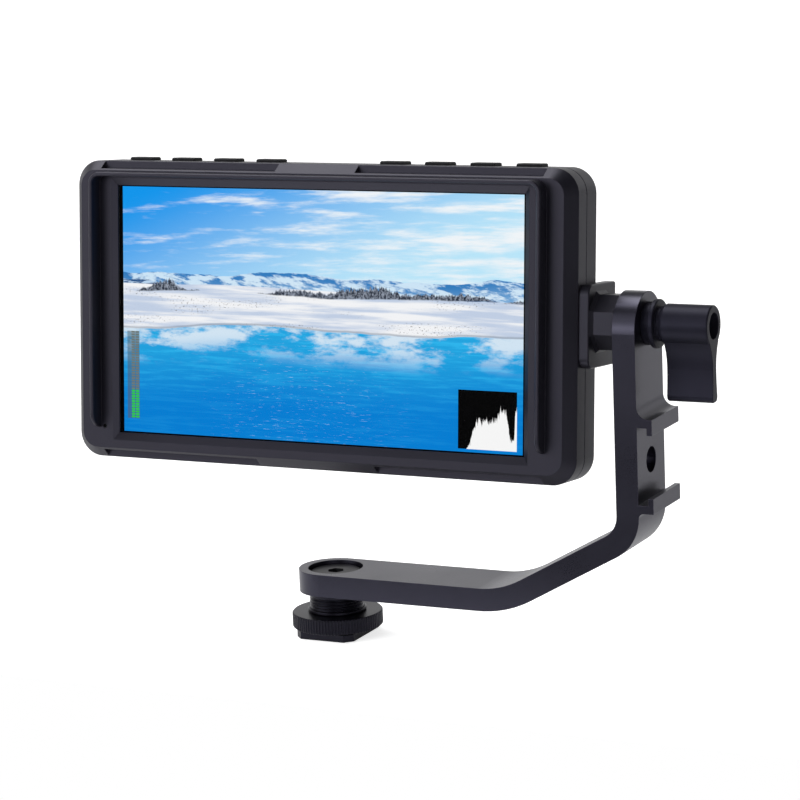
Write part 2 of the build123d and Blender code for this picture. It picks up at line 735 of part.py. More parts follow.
def rear_cover():
    """Rear casing with its back wall, vents, posts, ledges and the cup of the battery latch."""
    body = slab(rounded(half_width, head_top, head_bottom, corner_r), seam_y, back_y)
    body = chamfer(body.faces().sort_by(Axis.Y)[-1].edges(), back_chamfer)
    body = chamfer(body.faces().sort_by(Axis.Y)[0].edges(), seam_chamfer)
    body -= slab(rounded(inner_half_w, inner_top, inner_bottom, corner_r - wall), seam_y, inner_back_y)
    body -= vents()
    for x, z in board_screw_at:
        body += rod_y(board_back_y, inner_back_y, standoff_r, x, z)
        body -= rod_y(board_back_y, inner_back_y, board_screw_r + snug, x, z)
    for x in (-post_x, post_x):
        for z in (-post_z, post_z):
            body += rod_y(seam_y, inner_back_y, post_r, x, z)
            body -= rod_y(seam_y, back_y, case_screw_r + gap, x, z)
            body -= rod_y(back_y - case_head - case_head_sink, back_y, case_head_r + gap, x, z)
    for x in (-plate_screw_x, plate_screw_x):
        for z in (-plate_screw_z, plate_screw_z):
            body += rod_y(plate_post_y, inner_back_y, plate_post_r, x, z)
            body -= rod_y(plate_screw_tip_y - snug, back_y, plate_screw_r + snug, x, z)
    for x, w in ledges:
        top = key_board_top - key_board_thickness
        body += block(x - w / 2, x + w / 2, key_y - key_board_half_d, inner_back_y, top - ledge_height, top)
    for x, _ in key_ledges:
        body -= rod_z(top - ledge_height, top, key_screw_r + snug, x, key_screw_y)
    body += latch_box(latch_cup_floor_y - latch_cup_wall, inner_back_y, latch_flange + latch_cup_wall + gap)
    body -= latch_box(latch_cup_floor_y, back_y, latch_flange + gap)
    body -= block(-terminal_w / 2 - gap, terminal_w / 2 + gap, inner_back_y, back_y,
                  terminal_z - terminal_h / 2 - gap, terminal_z + terminal_h / 2 + gap)
    for z in bracket_screw_zs():
        body -= rod_x(inner_half_w - 1, half_width + 1, bracket_screw_r + gap, y=bracket_screw_y, z=z)
    return body - key_holes() - port_holes()


def latch_box(y0, y1, grow):
    """A box round the battery latch's button, grown by the given margin."""
    return block(-latch_w / 2 - grow, latch_w / 2 + grow, y0, y1,
                 latch_z - latch_h / 2 - grow, latch_z + latch_h / 2 + grow)


def vents():
    """Rows of round-ended slots through the back wall."""
    slots = Sketch()
    for x in vent_xs:
        for row in range(vent_rows):
            z = (row - (vent_rows - 1) / 2) * vent_pitch
            slots += Pos(x, z) * SlotOverall(vent_length, vent_height)
            slots += Pos(-x, z) * SlotOverall(vent_length, vent_height)
    return slab(slots, inner_back_y - 1, back_y + 1)


def case_screws():
    """Four screws from the back into the bezel's posts."""
    screws = []
    for x in (-post_x, post_x):
        for z in (-post_z, post_z):
            under = back_y - case_head - case_head_sink
            head = rod_y(under, under + case_head, case_head_r, x, z)
            shank = rod_y(case_screw_tip_y, under, case_screw_r, x, z)
            screws.append(cross_drive(head + shank, under + case_head, x, z, case_head_r))
    return Compound(screws)


def cross_drive(screw, y, x, z, r):
    """Cut a cross recess into a screw head whose top is at depth y, facing back."""
    arm = 0.65 * r
    thin = 0.14 * r
    for a, b in ((arm, thin), (thin, arm)):
        screw -= block(x - a, x + a, y - 0.35 * r, y, z - b, z + b)
    return screw


def status_light_pipe():
    """Clear light pipe from the board to the face."""
    return rod_y(face_y + gap, board_y, light_r, light_x, light_z)


# ---- screen stack ---------------------------------------------------------------------
def plain_sheet(half_w, half_h, y, thickness):
    return slab(Rectangle(2 * half_w, 2 * half_h), y, y + thickness)


def screen_glass():
    return plain_sheet(glass_half_w, glass_half_h, glass_y, glass_thickness)


def glass_gasket():
    """Foam frame between the glass and the panel, hidden behind the window's edge."""
    y = glass_y + glass_thickness
    outer = Rectangle(2 * (glass_half_w - gasket_inset), 2 * (glass_half_h - gasket_inset))
    inner = Rectangle(2 * (window_half_w + gasket_overlap), 2 * (window_half_h + gasket_overlap))
    return slab(outer - inner, y, panel_y)


def lcd_panel():
    return plain_sheet(glass_half_w, glass_half_h, panel_y, panel_thickness)


def backlight_unit():
    return plain_sheet(glass_half_w, glass_half_h, light_y, light_thickness)


def lcd_tray():
    """Folded sheet-metal tray that holds the panel and the backlight against the bezel."""
    tray = plain_sheet(tray_half_w, tray_half_h, front_inner_y, tray_back_y + tray_back - front_inner_y)
    return tray - plain_sheet(glass_half_w + gap, glass_half_h + gap, front_inner_y,
                              tray_back_y - front_inner_y)


# ---- electronics ----------------------------------------------------------------------
def main_board():
    """Circuit board with cut-outs for the corner posts and the power socket."""
    board = block(-board_left, board_right, board_y, board_back_y, -board_bottom, board_top)
    edge = post_x - post_r - gap
    for z0, z1 in ((post_z - post_r - gap, board_top), (-board_bottom, -post_z + post_r + gap)):
        board -= block(-board_left, -edge, board_y, board_back_y, z0, z1)
    socket_top = jack_length + 2 * gap - inner_bottom + snug
    board -= block(dc_in_x - dc_in_half - gap, dc_in_x + dc_in_half + gap, board_y, board_back_y,
                   -board_bottom, socket_top)
    for x, z in board_screw_at:
        board -= rod_y(board_y, board_back_y, board_screw_r + gap, x, z)
    return board


def board_screws():
    """Four screws through the main board and two through the key board."""
    screws = []
    for x, z in board_screw_at:
        head = rod_y(board_y - board_head, board_y, board_head_r, x, z)
        screws.append(head + rod_y(board_y, inner_back_y - 1, board_screw_r, x, z))
    low = key_board_top - key_board_thickness - key_screw_reach
    for x, _ in key_ledges:
        head = rod_z(key_board_top, key_board_top + board_head, key_screw_head_r, x, key_screw_y)
        screws.append(head + rod_z(low, key_board_top, key_screw_r, x, key_screw_y))
    return Compound(screws)


def board_chips():
    """The larger parts soldered to the back of the board."""
    x, z = processor_at
    half = processor_size / 2
    solids = [block(x - half, x + half, board_back_y, board_back_y + chip_thickness, z - half, z + half)]
    for cx, cz, w, h in chips:
        solids.append(block(cx - w / 2, cx + w / 2, board_back_y, board_back_y + chip_thickness,
                            cz - h / 2, cz + h / 2))
    return Compound(solids)


def thermal_pad():
    x, z = processor_at
    half = processor_size / 2
    y = board_back_y + chip_thickness
    return block(x - half, x + half, y, y + pad_thickness, z - half, z + half)


def heat_spreader():
    """Aluminium block that carries the processor's heat to the back wall."""
    x, z = processor_at
    half = spreader_size / 2
    y = board_back_y + chip_thickness + pad_thickness
    return block(x - half, x + half, y, inner_back_y, z - half, z + half)


def ribbon(path_points, width):
    """A flat cable: a stepped strip through points (y, z), centred on x = 0."""
    strip = Part()
    t = flex_thickness
    for (y0, z0), (y1, z1) in zip(path_points, path_points[1:]):
        strip += block(-width / 2, width / 2, min(y0, y1), max(y0, y1) + t, min(z0, z1), max(z0, z1) + t)
    return strip


def lcd_cable():
    """Flat cable from the back of the panel tray to the main board."""
    y0 = tray_back_y + tray_back
    y1 = board_y - flex_thickness
    path = [(y0, lcd_cable_low), (y0, lcd_cable_bend), (y1, lcd_cable_bend), (y1, lcd_cable_top)]
    return ribbon(path, flex_width)


def key_cable():
    """Flat cable from the key board to the back of the main board."""
    low = board_top - key_cable_drop
    top = key_board_top - key_board_thickness - flex_thickness
    end = latch_cup_floor_y - latch_cup_wall - gap - flex_thickness
    return ribbon([(board_back_y, low), (board_back_y, top), (end, top)], key_flex_width)


def hdmi_socket(z):
    """Sheet-metal socket shell with a contact tongue, opening to the left."""
    x0 = -half_width + socket_inset
    x1 = x0 + hdmi_depth
    shell = block(x0, x1, socket_y - hdmi_h / 2, socket_y + hdmi_h / 2, z - hdmi_w / 2, z + hdmi_w / 2)
    inner_h, inner_w = hdmi_h / 2 - hdmi_wall, hdmi_w / 2 - hdmi_wall
    shell -= block(x0, x1 - 2, socket_y - inner_h, socket_y + inner_h, z - inner_w, z + inner_w)
    tongue = block(x0 + 1.5, x1 - 2, socket_y - 0.4, socket_y + 0.4, z - 5.5, z + 5.5)
    return shell + tongue


def phone_jack():
    x0 = -inner_half_w + snug
    body = block(x0, x0 + phone_length, board_back_y + gap, socket_y + phone_half,
                 phone_z - phone_half, phone_z + phone_half)
    sleeve = rod_x(-half_width + socket_inset, x0, phone_r + gap, y=socket_y, z=phone_z)
    return body + sleeve - rod_x(-half_width, x0 + phone_length - jack_floor, phone_r, y=socket_y, z=phone_z)


def usb_port():
    x0 = -half_width + socket_inset
    w, h = usb_w / 2, usb_h / 2
    shell = block(x0, x0 + 6, socket_y - h, socket_y + h, usb_z - w, usb_z + w)
    shell -= block(x0, x0 + 5, socket_y - h + 0.3, socket_y + h - 0.3, usb_z - w + 0.3, usb_z + w - 0.3)
    foot = block(x0 + 3, x0 + 6, board_back_y, socket_y - h, usb_z - w, usb_z + w)
    return shell + foot + block(x0 + 1, x0 + 5, socket_y - 0.3, socket_y + 0.3, usb_z - 2.5, usb_z + 2.5)


def barrel_jack(x, y, r, pin_r, half_w, y0, y1):
    """Power socket body, opening downwards, with a centre pin."""
    z0 = -inner_bottom + snug
    floor_z = z0 + jack_length - jack_floor
    body = block(x - half_w, x + half_w, y0, y1, z0, z0 + jack_length)
    body -= rod_z(z0, floor_z, r, x, y)
    return body + rod_z(z0 + jack_floor / 2, floor_z, pin_r, x, y)


def dc_in_jack():
    return barrel_jack(dc_in_x, dc_in_y, dc_in_r, dc_pin_r, dc_in_half, tray_back_y + tray_back + part_gap,
                       inner_back_y - gap)


def dc_out_jack():
    return barrel_jack(dc_out_x, socket_y, dc_out_r, dc_out_pin_r, dc_out_half, board_back_y,
                       inner_back_y - gap)


# ---- keys -----------------------------------------------------------------------------
def key_board():
    """Narrow board under the keys, resting on the rear cover's ledges."""
    z1 = key_board_top
    board = block(-key_board_half_w, key_board_half_w, key_y - key_board_half_d, key_y + key_board_half_d,
                  z1 - key_board_thickness, z1)
    for x, _ in key_ledges:
        board -= rod_z(z1 - key_board_thickness, z1, key_screw_r + snug, x, key_screw_y)
    return board


def tact_switches():
    """One push switch under each key."""
    half = switch_size / 2
    solids = []
    for x in key_xs:
        top = key_board_top + switch_body
        body = block(x - half, x + half, key_y - half, key_y + half, key_board_top, top)
        solids.append(body + rod_z(top, top + switch_button, switch_button_r, x, key_y))
    return Compound(solids)


def key(x):
    """Rectangular key with a flange that keeps it under the top wall."""
    w, d = key_w / 2, key_depth / 2
    cap = block(x - w, x + w, key_y - d, key_y + d, inner_top - snug, head_top + key_rise)
    cap = chamfer(cap.faces().sort_by(Axis.Z)[-1].edges(), edge_break)
    flange = block(x - w - key_flange, x + w + key_flange, key_y - d - key_flange, key_y + d + slip,
                   key_under, inner_top - snug)
    return cap + flange


# ---- battery plate --------------------------------------------------------------------
def battery_plate():
    """Slide-on plate for a camera battery: base, two lipped rails, openings for latch and contacts."""
    base = slab(RectangleRounded(2 * plate_half_w, 2 * plate_half_h, plate_corner_r), back_y, plate_y)
    rail_top = plate_y + rail_height
    rail_z = plate_half_h - plate_corner_r
    rail = block(plate_half_w - rail_w, plate_half_w, plate_y, rail_top, -rail_z, rail_z)
    inner = plate_half_w - rail_w
    lip = block(inner - rail_lip, inner, rail_top - rail_lip_thickness, rail_top, -rail_z, rail_z)
    lip -= block(0, plate_half_w, plate_y, rail_top, rail_gap_z[0], rail_gap_z[1])
    body = base + both_sides(rail + lip)
    for x in (-plate_screw_x, plate_screw_x):
        for z in (-plate_screw_z, plate_screw_z):
            body -= rod_y(back_y, plate_y, plate_screw_r + gap, x, z)
            body -= rod_y(plate_y - plate_head, plate_y, plate_head_r + gap, x, z)
    body -= latch_box(back_y, plate_y, gap)
    body -= latch_box(back_y, back_y + latch_flange_thickness + gap, latch_flange + gap)
    return body - block(-terminal_w / 2 - gap, terminal_w / 2 + gap, back_y, plate_y,
                        terminal_z - terminal_h / 2 - gap, terminal_z + terminal_h / 2 + gap)


def plate_screws():
    screws = []
    for x in (-plate_screw_x, plate_screw_x):
        for z in (-plate_screw_z, plate_screw_z):
            under = plate_y - plate_head
            head = rod_y(under, plate_y - snug, plate_head_r, x, z)
            shank = rod_y(plate_screw_tip_y, under, plate_screw_r, x, z)
            screws.append(cross_drive(head + shank, plate_y - snug, x, z, plate_head_r))
    return Compound(screws)


def battery_terminals():
    """Contact block from the board through the casing, with three blades for the battery."""
    top = plate_y + terminal_rise
    body = block(-terminal_w / 2, terminal_w / 2, board_back_y, top,
                 terminal_z - terminal_h / 2, terminal_z + terminal_h / 2)
    for x in (-terminal_w / 3, 0, terminal_w / 3):
        z0 = terminal_z + terminal_h / 2
        middle = plate_y + terminal_rise / 2
        body += block(x - blade_w / 2, x + blade_w / 2, middle - blade_h / 2, middle + blade_h / 2,
                      z0, z0 + blade_length)
    return body


def battery_latch():
    """Sprung button that stands behind the fitted battery and sinks when pressed."""
    flange_top = back_y + latch_flange_thickness
    button = latch_box(flange_top, plate_y + latch_rise, 0)
    button = chamfer(button.faces().sort_by(Axis.Y)[-1].edges(), 2 * edge_break)
    return button + latch_box(back_y, flange_top, latch_flange)


def latch_spring():
    """Coil spring in the cup under the battery latch."""
    y0 = latch_cup_floor_y + spring_wire_r
    length = back_y - y0 - spring_wire_r
    axis = Plane(origin=(0, y0, latch_z), x_dir=(1, 0, 0), z_dir=(0, 1, 0))
    path = Helix(length / spring_turns, length, spring_r)
    start = Plane(origin=path @ 0, z_dir=path % 0)
    return axis.location * sweep(start * Circle(spring_wire_r), path=path)


# ---- output -----------------------------------------------------------------------------
FIXED_NODES = {
    "shoe_foot": shoe_foot, "swivel_screw": swivel_screw, "swivel_washer": swivel_washer,
    "shoe_nut": shoe_nut, "lock_ring": lock_ring, "tilt_arm": tilt_arm,
    "clamp_collar": clamp_collar, "clamp_knob": clamp_knob, "clamp_stud": clamp_stud,
}
HEAD_NODES = {
    "arm_bracket": arm_bracket, "bracket_backing": bracket_backing, "bracket_screws": bracket_screws,
    "friction_washer": friction_washer, "front_bezel": front_bezel, "rear_cover": rear_cover,
    "case_screws": case_screws, "status_light_pipe": status_light_pipe, "screen_glass": screen_glass,
    "glass_gasket": glass_gasket, "lcd_panel": lcd_panel, "backlight_unit": backlight_unit,
    "lcd_tray": lcd_tray, "lcd_cable": lcd_cable, "main_board": main_board, "board_screws": board_screws,
    "board_chips": board_chips, "thermal_pad": thermal_pad, "heat_spreader": heat_spreader,
    "phone_jack": phone_jack, "usb_port": usb_port, "dc_in_jack": dc_in_jack, "dc_out_jack": dc_out_jack,
    "key_board": key_board, "key_cable": key_cable, "tact_switches": tact_switches,
    "battery_plate": battery_plate, "plate_screws": plate_screws, "battery_terminals": battery_terminals,
    "battery_latch": battery_latch, "latch_spring": latch_spring,
}


def build():
    """All nodes at their places, by name."""
    nodes = {name: make() for name, make in FIXED_NODES.items()}
    head = {name: make() for name, make in HEAD_NODES.items()}
    head["hdmi_in_socket"] = hdmi_socket(hdmi_in_z)
    head["hdmi_out_socket"] = hdmi_socket(hdmi_out_z)
    for number, x in enumerate(sorted(key_xs), start=1):
        head[f"key_{number}"] = key(x)
    nodes.update({name: HEAD * shape for name, shape in head.items()})
    return nodes


def main():
    os.makedirs("parts", exist_ok=True)
    for name, shape in build().items():
        export_step(shape, f"parts/{name}.step")
        print(name, len(shape.solids()), round(shape.volume, 2))


main()
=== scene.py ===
import math

import bmesh
import bpy
from mathutils import Matrix, Vector


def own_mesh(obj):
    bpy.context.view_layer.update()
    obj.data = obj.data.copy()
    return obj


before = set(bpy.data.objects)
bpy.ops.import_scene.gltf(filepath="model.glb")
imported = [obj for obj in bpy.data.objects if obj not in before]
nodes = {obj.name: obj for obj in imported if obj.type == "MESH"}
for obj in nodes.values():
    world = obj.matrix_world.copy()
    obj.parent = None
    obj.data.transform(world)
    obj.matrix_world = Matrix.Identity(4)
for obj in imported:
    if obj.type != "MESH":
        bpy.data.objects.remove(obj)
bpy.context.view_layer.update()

# Metres, in the part's frame: the origin is under the shoe foot, +Z is up and the screen faces -Y.

# ---- where the head and its picture sit ---------------------------------------------------
tilt_axis = Vector((0.00275, 0.0, 0.083))
picture_offset = Vector((0.0, -0.0092, -0.001))
lean = math.radians(-5.5)
picture_w = 0.1107
picture_h = 0.0623
picture_middle = tilt_axis + Matrix.Rotation(lean, 3, "X") @ picture_offset

# ---- studio: the table, the lamps and the point they are turned to, the camera, the round lights ----
table_half = 3.0
table_front = 0.06
table_drop = 0.0003
aim_point = (0.03, 0.0, 0.06)
lamp_size = (1.0, 0.8)

camera_place = (0.34011, -0.652515, 0.20398)
camera_azimuth = 26.13
camera_elevation = 11.12
camera_roll = -2.27
camera_lens = 134.495

# Turn from the front towards the right, height, half width where the light begins and half width where it is
# full, all in degrees, and its level.
round_lights = {
    "high at the left": (-107.0, 61.0, 24.0, 8.0, 4.6),
    "low at the front left": (-41.0, -52.0, 28.0, 10.0, 2.42),
    "front right": (36.0, 0.0, 25.0, 8.0, 2.22),
    "right": (80.0, 10.0, 35.0, 12.0, 0.1),
}
room_level = 0.06


# ---- shader maths -----------------------------------------------------------------------
class Value:
    """A number that varies over a surface, used in plain Python sums."""

    def __init__(self, finish, socket):
        self.finish = finish
        self.socket = socket

    def math(self, operation, *values):
        made = self.finish.tree.nodes.new("ShaderNodeMath")
        made.operation = operation
        for slot, value in zip(made.inputs, values):
            self.finish.feed(slot, value)
        return Value(self.finish, made.outputs[0])

    def __add__(self, other):
        return self.math("ADD", self, other)

    def __radd__(self, other):
        return self.math("ADD", other, self)

    def __sub__(self, other):
        return self.math("SUBTRACT", self, other)

    def __rsub__(self, other):
        return self.math("SUBTRACT", other, self)

    def __mul__(self, other):
        return self.math("MULTIPLY", self, other)

    def __rmul__(self, other):
        return self.math("MULTIPLY", other, self)

    def __truediv__(self, other):
        return self.math("DIVIDE", self, other)

    def above(self, edge):
        return self.math("GREATER_THAN", self, edge)

    def below(self, edge):
        return self.math("LESS_THAN", self, edge)

    def between(self, low, high):
        return self.above(low) * self.below(high)

    def either(self, other):
        return self.math("MAXIMUM", self, other)

    def fraction(self):
        return self.math("FRACT", self)

    def root(self):
        return self.math("SQRT", self)

    def smooth(self, low, high):
        """0 below low, 1 above high, and a soft step between."""
        made = self.finish.tree.nodes.new("ShaderNodeMapRange")
        made.interpolation_type = "SMOOTHSTEP"
        self.finish.feed(made.inputs["Value"], self)
        self.finish.feed(made.inputs["From Min"], low)
        self.finish.feed(made.inputs["From Max"], high)
        return Value(self.finish, made.outputs["Result"])

    def scaled(self, low, high):
        """A 0 to 1 value spread from low to high."""
        return self * (high - low) + low


class Shading:
    """The nodes of a material or of the world, and the ways to add to them."""

    def __init__(self, tree, coordinates):
        self.tree = tree
        self.coordinates = tree.nodes.new("ShaderNodeTexCoord").outputs[coordinates]

    def feed(self, slot, value):
        if isinstance(value, Value):
            value = value.socket
        if isinstance(value, bpy.types.NodeSocket):
            self.tree.links.new(value, slot)
        elif hasattr(slot.default_value, "__len__") and len(slot.default_value) == 4 and len(value) == 3:
            slot.default_value = (*value, 1.0)
        else:
            slot.default_value = value

    def node(self, kind, settings=None, output=0, **values):
        """Adds a node of any other kind: its settings first, then its sockets."""
        made = self.tree.nodes.new("ShaderNode" + kind)
        for name, value in (settings or {}).items():
            setattr(made, name, value)
        for name, value in values.items():
            self.feed(made.inputs[name.replace("_", " ").title()], value)
        return Value(self, made.outputs[output])

    def noise(self, scale, detail=2.0, roughness=0.5, vector=None):
        return self.node("TexNoise", None, "Fac", vector=vector or self.coordinates, scale=scale,
                         detail=detail, roughness=roughness)

    def turned(self, location=(0, 0, 0), rotation=(0, 0, 0), scale=(1, 1, 1), kind="POINT"):
        return self.node("Mapping", {"vector_type": kind}, "Vector", vector=self.coordinates,
                         location=location, rotation=rotation, scale=scale).socket

    def parts(self, vector):
        split = self.tree.nodes.new("ShaderNodeSeparateXYZ")
        self.feed(split.inputs[0], vector)
        return [Value(self, output) for output in split.outputs]

    def joined(self, x, y, z):
        made = self.tree.nodes.new("ShaderNodeCombineXYZ")
        for slot, value in zip(made.inputs, (x, y, z)):
            self.feed(slot, value)
        return made.outputs[0]

    def mix(self, amount, first, second):
        """The first colour where amount is 0 and the second where it is 1."""
        made = self.tree.nodes.new("ShaderNodeMix")
        made.data_type = "RGBA"
        self.feed(made.inputs[0], amount)
        self.feed(made.inputs[6], first)
        self.feed(made.inputs[7], second)
        return Value(self, made.outputs[2])

    def ray(self, *kinds):
        """1 for rays of these kinds, and 0 for all others."""
        path = self.tree.nodes.new("ShaderNodeLightPath")
        total = Value(self, path.outputs[f"Is {kinds[0]} Ray"])
        for kind in kinds[1:]:
            total = total.either(path.outputs[f"Is {kind} Ray"])
        return total


class Finish(Shading):
    """A material being made: one Principled shader and what feeds it."""

    def __init__(self, name, **looks):
        self.material = bpy.data.materials.new(name)
        self.material.use_nodes = True
        super().__init__(self.material.node_tree, "Object")
        self.shader = self.tree.nodes["Principled BSDF"]
        self.set(**looks)

    def set(self, **looks):
        """Sets the Principled shader's sockets, named in lower case with underscores."""
        for name, value in looks.items():
            self.feed(self.shader.inputs[name.replace("_", " ").title().replace("Ior", "IOR")], value)

    def bump(self, height, distance, strength=1.0, edge=0.0):
        """Bumps the surface, and softens its sharp edges over the given radius."""
        made = self.tree.nodes.new("ShaderNodeBump")
        self.feed(made.inputs["Height"], height)
        made.inputs["Distance"].default_value = distance
        made.inputs["Strength"].default_value = strength
        if edge:
            self.feed(made.inputs["Normal"], self.node("Bevel", {"samples": 6}, radius=edge))
        self.feed(self.shader.inputs["Normal"], made.outputs[0])


# ---- finishes ---------------------------------------------------------------------------
def shaded(colour, share):
    """The colour made darker or lighter."""
    return [min(channel * share, 1.0) for channel in colour]


def anodised(name, colour, rough, ior, sheen, grain=0.4, edge=0.0002):
    """Bead-blasted aluminium, anodised black: an even fine grain and a faintly cloudy violet sheen."""
    made = Finish(name, ior=ior, specular_tint=sheen)
    grit = made.noise(5200.0, 3.0, 0.65)
    cloud = made.noise(55.0, 4.0, 0.55)
    made.set(base_color=made.mix(cloud.smooth(0.35, 0.7), shaded(colour, 0.85), shaded(colour, 1.2)),
             roughness=rough + (cloud - 0.5) * 0.10 + (grit - 0.5) * 0.12)
    made.bump(grit, 0.00002, grain, edge)
    return made.material


def moulded(name, colour, rough, grain=0.5, gloss=0.5, edge=0.0001):
    """Spark-eroded black plastic: a coarser, softer grain, rubbed a little smoother in places."""
    made = Finish(name, specular_ior_level=gloss)
    grit = made.noise(3600.0, 4.0, 0.6)
    rub = made.noise(38.0, 3.0, 0.6)
    made.set(base_color=made.mix(rub, shaded(colour, 0.9), shaded(colour, 1.12)),
             roughness=rough + (rub - 0.5) * 0.1 + (grit - 0.5) * 0.1)
    made.bump(grit, 0.000025, grain, edge)
    return made.material


def turned_metal(name, colour, rough, metallic=1.0):
    """Machined metal with fine irregular scratches."""
    made = Finish(name, metallic=metallic)
    fine = made.noise(900.0, 5.0, 0.7, made.turned(scale=(0.2, 1.0, 4.0)))
    made.set(base_color=made.mix(fine, shaded(colour, 0.88), shaded(colour, 1.1)),
             roughness=rough + (fine - 0.5) * 0.15)
    made.bump(fine, 0.00001, 0.3)
    return made.material


def plain_stuff(name, colour, rough, mottle=0.1, scale=600.0, **looks):
    """Small hidden pieces: one colour with a little mottling."""
    made = Finish(name, **looks)
    spots = made.noise(scale, 3.0, 0.5)
    made.set(base_color=made.mix(spots, shaded(colour, 1 - mottle), shaded(colour, 1 + mottle)),
             roughness=rough + (spots - 0.5) * 0.1)
    made.bump(spots, 0.00001, 0.2)
    return made.material


def cover_glass():
    """Cover glass with an anti-glare coat: nearly clear, with a soft sheen."""
    made = Finish("cover_glass", base_color=(0.0, 0.0, 0.0), alpha=0.02, specular_ior_level=0.35)
    haze = made.noise(120.0, 2.0, 0.5)
    made.set(roughness=haze.scaled(0.28, 0.34))
    made.material.blend_method = "BLEND"
    return made.material


def circuit_green():
    """Solder resist with faint copper tracks under it."""
    made = Finish("solder_resist", specular_ior_level=0.5)
    x, _, _ = made.parts(made.coordinates)
    bend = made.noise(90.0, 0.0, 0.5)
    track = (x * 1100.0 + bend * 9.0).fraction().between(0.3, 0.62)
    made.set(base_color=made.mix(track, (0.012, 0.075, 0.035), (0.03, 0.16, 0.075)), roughness=0.36)
    return made.material


# ---- the picture on the screen -----------------------------------------------------------
def live_picture():
    """A made-up coast in winter light: streaked sky, low far downs, snowy dunes with scrub and open water,
    with a level meter and a histogram laid over it."""
    made = Finish("live_picture", base_color=(0.001, 0.001, 0.0012), roughness=0.6, specular_ior_level=0.0)
    flat = made.turned(location=picture_middle, rotation=(lean, 0, 0), kind="TEXTURE")
    x, _, z = made.parts(flat)
    u = x / picture_w + 0.5
    v = z / picture_h + 0.5

    def skyline(base, lift, scale, seed, rough):
        return made.noise(scale, 9.0, rough, made.joined(u, seed, 0.0)) * lift + base

    def laid(colour, top, paint, edge=0.003):
        return made.mix((top - v).smooth(0.0, edge), colour, paint)

    colour = winter_sky(made, u, v)
    far_top = skyline(0.575, 0.17, 2.6, 4.0, 0.50)
    fold = made.noise(13.0, 9.0, 0.66, made.joined(u * 1.4 + v * 1.0, v * 2.0, 0.0)).smooth(0.44, 0.56)
    haze = (far_top - v).smooth(0.0, 0.11)
    colour = laid(colour, far_top, made.mix(haze, made.mix(fold, (0.03, 0.20, 0.52), (0.62, 0.80, 0.95)),
                                            made.mix(fold, (0.22, 0.45, 0.74), (0.72, 0.85, 0.95))))
    mid_top = skyline(0.545, 0.13, 4.1, 6.0, 0.55) - u * 0.03
    slope = made.noise(24.0, 8.0, 0.7, made.joined(u - v * 0.6, v * 3.0, 4.0)).smooth(0.47, 0.54)
    colour = laid(colour, mid_top, made.mix(slope, (0.02, 0.085, 0.24), (0.50, 0.68, 0.88)))

    dune_top = skyline(0.555, 0.09, 1.7, 9.0, 0.25)
    drift = made.noise(5.0, 7.0, 0.5, made.joined(u * 0.9 + v * 0.5, v * 7.0, 5.0))
    snow = made.mix(drift.smooth(0.38, 0.60), (0.55, 0.64, 0.80), (0.92, 0.93, 0.95))
    tuft = made.noise(120.0, 5.0, 0.7, made.joined(u * 1.6, v * 1.3, 2.0)).above(0.60)
    patch = made.noise(4.0, 4.0, 0.5, made.joined(u, v * 4.0, 8.0)).smooth(0.52, 0.60)
    colour = laid(colour, dune_top, made.mix(tuft * patch, snow, (0.18, 0.17, 0.17)))

    ground = skyline(0.556, 0.045, 3.1, 14.0, 0.6)
    stand = made.noise(2.7, 4.0, 0.5, made.joined(u, 0.0, 7.0)).smooth(0.45, 0.62)
    crown = made.noise(52.0, 7.0, 0.85, made.joined(u, 2.0, 0.0)).smooth(0.22, 0.80)
    twig = made.noise(80.0, 9.0, 0.8, made.joined(u * 2.2, v * 0.8, 0.0)).smooth(0.44, 0.58)
    scrub = made.mix(twig, (0.010, 0.016, 0.030), (0.30, 0.34, 0.42))
    above_ground = v - ground
    below_crown = stand * crown.scaled(0.012, 0.095) - above_ground
    grown = below_crown.smooth(0.0, 0.004) * above_ground.smooth(0.0, 0.007)
    colour = made.mix(grown * stand.smooth(0.0, 0.15), colour, scrub)

    colour = open_water(made, colour, u, v)
    colour = level_meter(made, colour, u, v)
    colour = histogram(made, colour, u, v)
    lit = u.between(0.0, 1.0) * v.between(0.0, 1.0)
    made.set(emission_color=made.mix(lit, (0.0, 0.0, 0.0), colour), emission_strength=1.0)
    return made.material


def winter_sky(made, u, v):
    """Deep azure at the upper left, paling to the right and down, with streaks of cloud across it."""
    pale = (u * 0.75 + (1.0 - v) * 1.1).smooth(0.05, 0.95)
    sky = made.mix(pale, (0.004, 0.31, 0.86), (0.50, 0.81, 0.98))
    streak = made.noise(2.3, 9.0, 0.62, made.joined(u * 1.5 + v * 1.9, v * 6.0 - u * 0.9, 0.0))
    veil = made.noise(5.0, 8.0, 0.6, made.joined(u * 1.2 - v * 2.2, v * 8.0, 3.0))
    cover = (streak * 0.72 + veil * 0.30 + u * 0.10).smooth(0.52, 0.72)
    return made.mix(cover, sky, (0.90, 0.94, 0.97))


